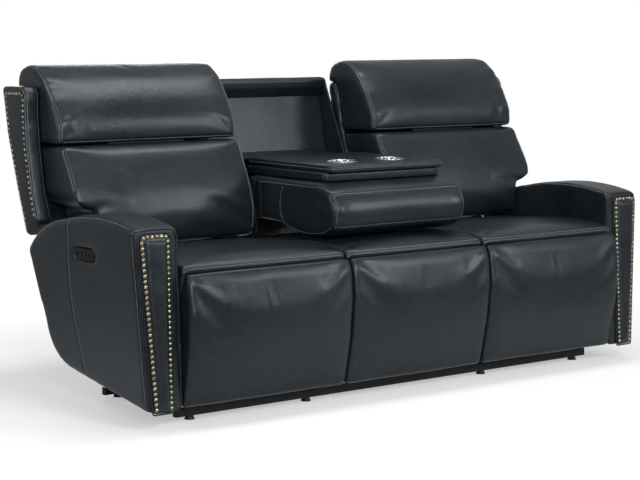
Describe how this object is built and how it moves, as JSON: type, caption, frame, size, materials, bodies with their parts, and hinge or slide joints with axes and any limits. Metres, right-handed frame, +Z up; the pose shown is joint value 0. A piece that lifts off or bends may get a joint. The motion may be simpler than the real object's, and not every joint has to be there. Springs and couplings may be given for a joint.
{
  "type": "reclining sofa",
  "caption": "Reclining sofa with padded backs and tilting headrests, lifting footrests, and a middle back that folds down into a console with cup holders.",
  "frame": {"origin": "middle of the footprint, on the floor", "axes": "+Z up, +X to the right as seen from the front, the sofa faces -Y"},
  "size_m": [2.1986, 0.9981, 1.1019],
  "materials": {
    "leather": "semi-gloss pull-up leather, dark slate blue",
    "frame_steel": "black powder coat",
    "board": "plywood",
    "glide": "moulded",
    "control": "moulded, gloss",
    "button": "moulded",
    "chrome": "polished",
    "cover_cloth": "black dust cloth"
  },
  "bodies": {
    "base": {"front_rail": "frame_steel", "rear_rail": "frame_steel", "floor_glides": "glide", "left_inner_side_plate": "frame_steel", "left_outer_side_plate": "frame_steel", "right_inner_side_plate": "frame_steel", "right_outer_side_plate": "frame_steel", "left_seat_deck": "board", "middle_seat_deck": "board", "right_seat_deck": "board", "left_seat_cushion": "leather", "middle_seat_cushion": "leather", "right_seat_cushion": "leather", "middle_front_panel": "leather", "left_arm": "leather", "right_arm": "leather", "arm_front_panels": "leather", "control_strips": "control", "left_middle_side_panel": "leather", "right_middle_side_panel": "leather", "recess_panel": "leather", "middle_top_bar": "leather", "rear_valance": "cover_cloth", "left_drive": "frame_steel", "right_drive": "frame_steel", "console_brackets": "frame_steel"},
    "console": {"console_body": "leather", "console_tray": "leather", "cup_holders": "chrome", "console_arms": "frame_steel"},
    "left_back": {"left_back_shell": "leather", "left_back_hinge": "frame_steel", "left_back_cushion": "leather", "left_wing": "leather", "left_headrest_bracket": "frame_steel"},
    "left_headrest": {"left_headrest": "leather"},
    "left_lower_links": {"left_lower_links": "frame_steel"},
    "left_cross_links": {"left_cross_links": "frame_steel"},
    "left_upper_links": {"left_upper_links": "frame_steel"},
    "left_footrest": {"left_footrest_frame": "frame_steel", "left_footrest_pad": "leather"},
    "left_headrest_up_button": {"left_headrest_up_button": "button"},
    "left_headrest_down_button": {"left_headrest_down_button": "button"},
    "left_recline_button": {"left_recline_button": "button"},
    "left_upright_button": {"left_upright_button": "button"},
    "right_back": {"right_back_shell": "leather", "right_back_hinge": "frame_steel", "right_back_cushion": "leather", "right_wing": "leather", "right_headrest_bracket": "frame_steel"},
    "right_headrest": {"right_headrest": "leather"},
    "right_lower_links": {"right_lower_links": "frame_steel"},
    "right_cross_links": {"right_cross_links": "frame_steel"},
    "right_upper_links": {"right_upper_links": "frame_steel"},
    "right_footrest": {"right_footrest_frame": "frame_steel", "right_footrest_pad": "leather"},
    "right_headrest_up_button": {"right_headrest_up_button": "button"},
    "right_headrest_down_button": {"right_headrest_down_button": "button"},
    "right_recline_button": {"right_recline_button": "button"},
    "right_upright_button": {"right_upright_button": "button"}
  },
  "joints": [
    {"name": "console_fold", "type": "hinge", "parent": "base", "child": "console", "pos_m": [0, 0.1601, 0.5618], "axis": [-1, 0, 0], "range_deg": [0, 102.8]},
    {"name": "left_recline", "type": "hinge", "parent": "base", "child": "left_back", "pos_m": [-0.621, 0.1216, 0.43], "axis": [-1, 0, 0], "range_deg": [0, 28]},
    {"name": "left_headrest_tilt", "type": "hinge", "parent": "left_back", "child": "left_headrest", "pos_m": [-0.621, 0.1936, 0.841], "axis": [1, 0, 0], "range_deg": [0, 28]},
    {"name": "left_footrest_lift", "type": "hinge", "parent": "base", "child": "left_lower_links", "pos_m": [-0.621, -0.3784, 0.29], "axis": [-1, 0, 0], "range_deg": [0, 95]},
    {"name": "left_cross_link_turn", "type": "hinge", "parent": "base", "child": "left_cross_links", "pos_m": [-0.621, -0.34293, 0.25561], "axis": [-1, 0, 0], "range_deg": [0, 91.54]},
    {"name": "left_upper_link_fold", "type": "hinge", "parent": "left_lower_links", "child": "left_upper_links", "pos_m": [-0.621, -0.39583, 0.09076], "axis": [-1, 0, 0], "range_deg": [-156.3, 0]},
    {"name": "left_footrest_turn", "type": "hinge", "parent": "left_upper_links", "child": "left_footrest", "pos_m": [-0.621, -0.41048, 0.29022], "axis": [-1, 0, 0], "range_deg": [0, 151.3]},
    {"name": "left_headrest_up_press", "type": "slide", "parent": "base", "child": "left_headrest_up_button", "axis": [1, 0, 0], "range_m": [0, 0.0015], "stiffness_N_per_m": 600, "springref_m": -0.0005},
    {"name": "left_headrest_down_press", "type": "slide", "parent": "base", "child": "left_headrest_down_button", "axis": [1, 0, 0], "range_m": [0, 0.0015], "stiffness_N_per_m": 600, "springref_m": -0.0005},
    {"name": "left_recline_press", "type": "slide", "parent": "base", "child": "left_recline_button", "axis": [1, 0, 0], "range_m": [0, 0.0015], "stiffness_N_per_m": 600, "springref_m": -0.0005},
    {"name": "left_upright_press", "type": "slide", "parent": "base", "child": "left_upright_button", "axis": [1, 0, 0], "range_m": [0, 0.0015], "stiffness_N_per_m": 600, "springref_m": -0.0005},
    {"name": "right_recline", "type": "hinge", "parent": "base", "child": "right_back", "pos_m": [0.621, 0.1216, 0.43], "axis": [-1, 0, 0], "range_deg": [0, 28]},
    {"name": "right_headrest_tilt", "type": "hinge", "parent": "right_back", "child": "right_headrest", "pos_m": [0.621, 0.1936, 0.841], "axis": [1, 0, 0], "range_deg": [0, 28]},
    {"name": "right_footrest_lift", "type": "hinge", "parent": "base", "child": "right_lower_links", "pos_m": [0.621, -0.3784, 0.29], "axis": [-1, 0, 0], "range_deg": [0, 95]},
    {"name": "right_cross_link_turn", "type": "hinge", "parent": "base", "child": "right_cross_links", "pos_m": [0.621, -0.34293, 0.25561], "axis": [-1, 0, 0], "range_deg": [0, 91.54]},
    {"name": "right_upper_link_fold", "type": "hinge", "parent": "right_lower_links", "child": "right_upper_links", "pos_m": [0.621, -0.39583, 0.09076], "axis": [-1, 0, 0], "range_deg": [-156.3, 0]},
    {"name": "right_footrest_turn", "type": "hinge", "parent": "right_upper_links", "child": "right_footrest", "pos_m": [0.621, -0.41048, 0.29022], "axis": [-1, 0, 0], "range_deg": [0, 151.3]},
    {"name": "right_headrest_up_press", "type": "slide", "parent": "base", "child": "right_headrest_up_button", "axis": [-1, 0, 0], "range_m": [0, 0.0015], "stiffness_N_per_m": 600, "springref_m": -0.0005},
    {"name": "right_headrest_down_press", "type": "slide", "parent": "base", "child": "right_headrest_down_button", "axis": [-1, 0, 0], "range_m": [0, 0.0015], "stiffness_N_per_m": 600, "springref_m": -0.0005},
    {"name": "right_recline_press", "type": "slide", "parent": "base", "child": "right_recline_button", "axis": [-1, 0, 0], "range_m": [0, 0.0015], "stiffness_N_per_m": 600, "springref_m": -0.0005},
    {"name": "right_upright_press", "type": "slide", "parent": "base", "child": "right_upright_button", "axis": [-1, 0, 0], "range_m": [0, 0.0015], "stiffness_N_per_m": 600, "springref_m": -0.0005}
  ],
  "couplings": [
    {"joint": "left_cross_link_turn", "follows": "left_footrest_lift", "ratio": 0.95833},
    {"joint": "left_upper_link_fold", "follows": "left_footrest_lift", "ratio": -1.64},
    {"joint": "left_footrest_turn", "follows": "left_footrest_lift", "ratio": 1.5874},
    {"joint": "right_cross_link_turn", "follows": "right_footrest_lift", "ratio": 0.95833},
    {"joint": "right_upper_link_fold", "follows": "right_footrest_lift", "ratio": -1.64},
    {"joint": "right_footrest_turn", "follows": "right_footrest_lift", "ratio": 1.5874}
  ]
}
